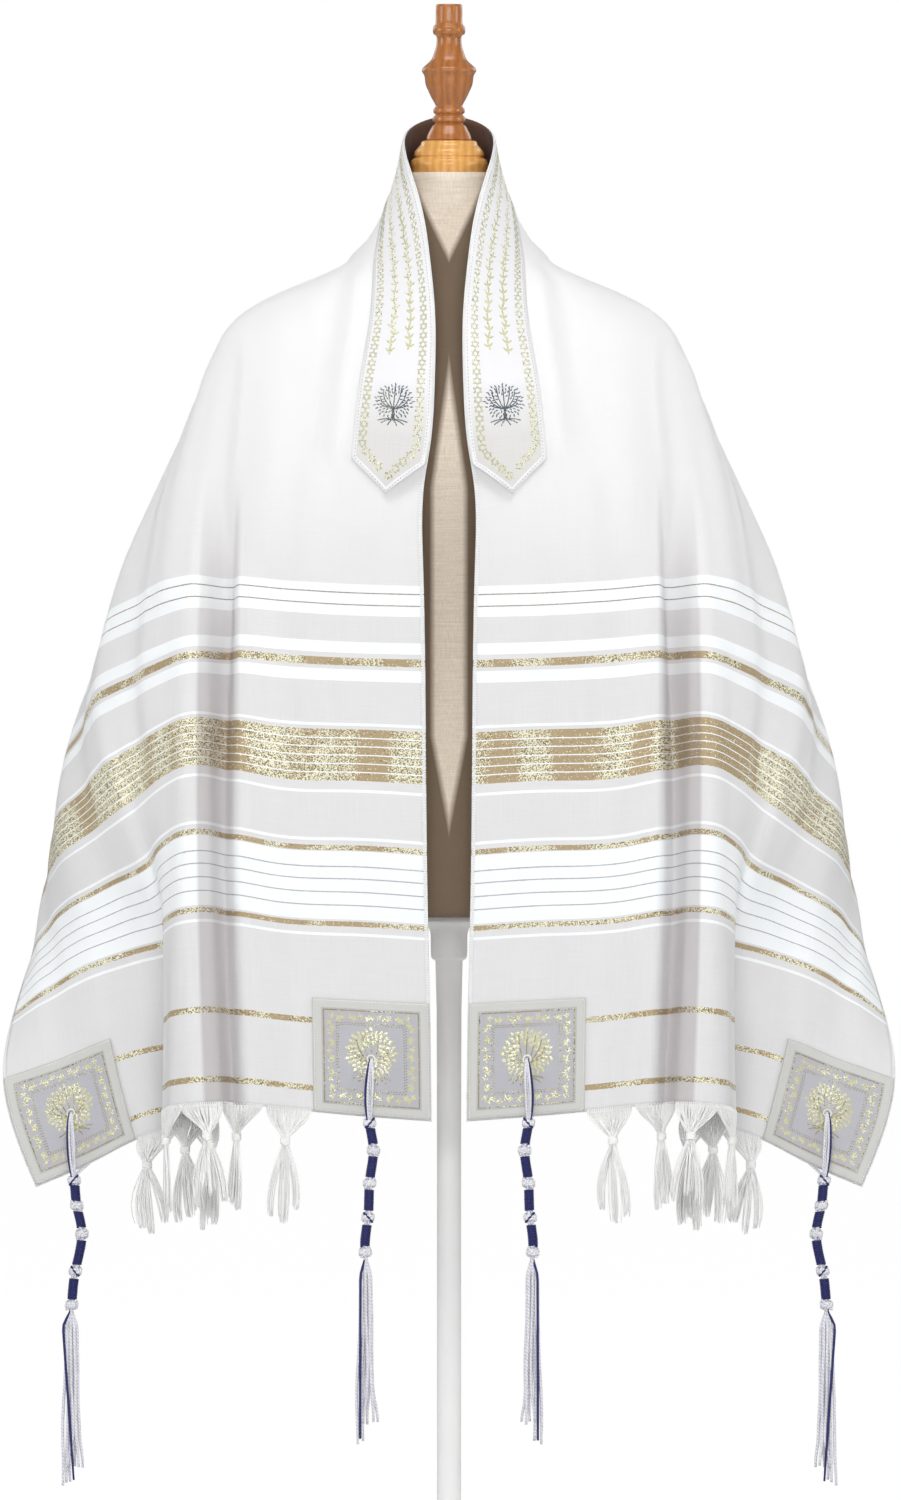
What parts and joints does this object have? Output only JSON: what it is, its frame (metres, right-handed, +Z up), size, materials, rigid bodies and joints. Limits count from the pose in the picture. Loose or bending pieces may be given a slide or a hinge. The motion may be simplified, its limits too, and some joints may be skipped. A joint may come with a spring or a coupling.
{
  "type": "tallit prayer shawl on a dress form",
  "caption": "White prayer shawl with gold and white stripes, neckband, corner patches, knotted fringes and corner tassels, worn by a limbless dress form on a round base.",
  "frame": {"origin": "middle of the stand's underside", "axes": "+Z up, -Y is the front of the form, +X is a viewer's right in front of it"},
  "size_m": [0.8504, 0.37, 1.6805],
  "materials": {
    "cloth": "sheer off-white weave with bright white and gold lurex stripes",
    "satin": "pale grey satin with pale gold woven borders",
    "thread": "silky white thread, navy on the windings of the corner tassels",
    "jersey": "beige knitted jersey stretched over foam",
    "honey_wood": "turned, varnished",
    "brown_wood": "turned, varnished",
    "white_steel": "satin white paint"
  },
  "bodies": {
    "root": {"stand_base": "white_steel", "stand_pole": "white_steel", "form_torso": "jersey", "neck_cap": "honey_wood", "finial": "brown_wood", "shawl_back": "cloth", "shawl_front_left": "cloth", "shawl_front_right": "cloth", "neckband": "satin", "patch_inner_left": "satin", "patch_outer_left": "satin", "patch_inner_right": "satin", "patch_outer_right": "satin", "fringe_left_1": "thread", "fringe_left_2": "thread", "fringe_left_3": "thread", "fringe_left_4": "thread", "fringe_left_5": "thread", "fringe_left_6": "thread", "fringe_left_7": "thread", "tassel_inner_left": "thread", "tassel_outer_left": "thread", "fringe_right_1": "thread", "fringe_right_2": "thread", "fringe_right_3": "thread", "fringe_right_4": "thread", "fringe_right_5": "thread", "fringe_right_6": "thread", "fringe_right_7": "thread", "tassel_inner_right": "thread", "tassel_outer_right": "thread"}
  },
  "joints": []
}
